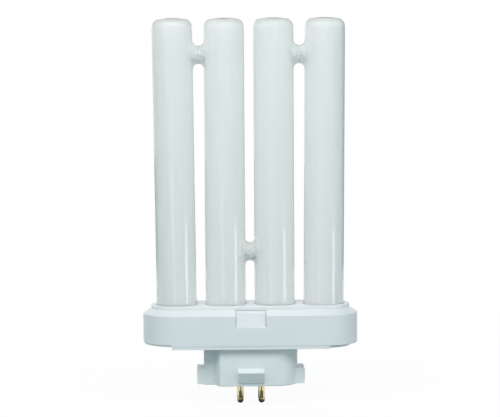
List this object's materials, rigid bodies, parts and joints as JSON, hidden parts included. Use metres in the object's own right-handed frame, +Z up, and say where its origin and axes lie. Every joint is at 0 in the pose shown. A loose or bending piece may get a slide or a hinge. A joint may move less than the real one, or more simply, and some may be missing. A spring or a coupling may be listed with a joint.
{
  "type": "compact fluorescent lamp",
  "caption": "Flat compact fluorescent light bulb: parallel glass limbs joined by bridges in a moulded holder with a keyed plug base and contact pins.",
  "frame": {"origin": "centre of the contact pin pattern on the plug block's bottom face", "axes": "+X along the row of limbs, towards the plug block's round-cornered end; +Y from the front to the rear; +Z up the limbs"},
  "size_m": [0.0796, 0.025, 0.1431],
  "materials": {
    "phosphor_glass": "glossy glass over a matt white phosphor coating",
    "white_plastic": "satin moulded white",
    "basing_cement": "matt set cement",
    "brass": "bright drawn",
    "nickel_wire": "bright drawn",
    "sleeve_silicone": "matt"
  },
  "bodies": {
    "root": {"glass_tubes": "phosphor_glass", "tube_holder": "white_plastic", "base_cover": "white_plastic", "cement_ring_1": "basing_cement", "contact_pin_1": "brass", "lead_wire_1": "nickel_wire", "wire_sleeve_1": "sleeve_silicone", "cement_ring_2": "basing_cement", "contact_pin_2": "brass", "lead_wire_2": "nickel_wire", "wire_sleeve_2": "sleeve_silicone", "cement_ring_3": "basing_cement", "contact_pin_3": "brass", "lead_wire_3": "nickel_wire", "wire_sleeve_3": "sleeve_silicone", "cement_ring_4": "basing_cement", "contact_pin_4": "brass", "lead_wire_4": "nickel_wire", "wire_sleeve_4": "sleeve_silicone"}
  },
  "joints": []
}
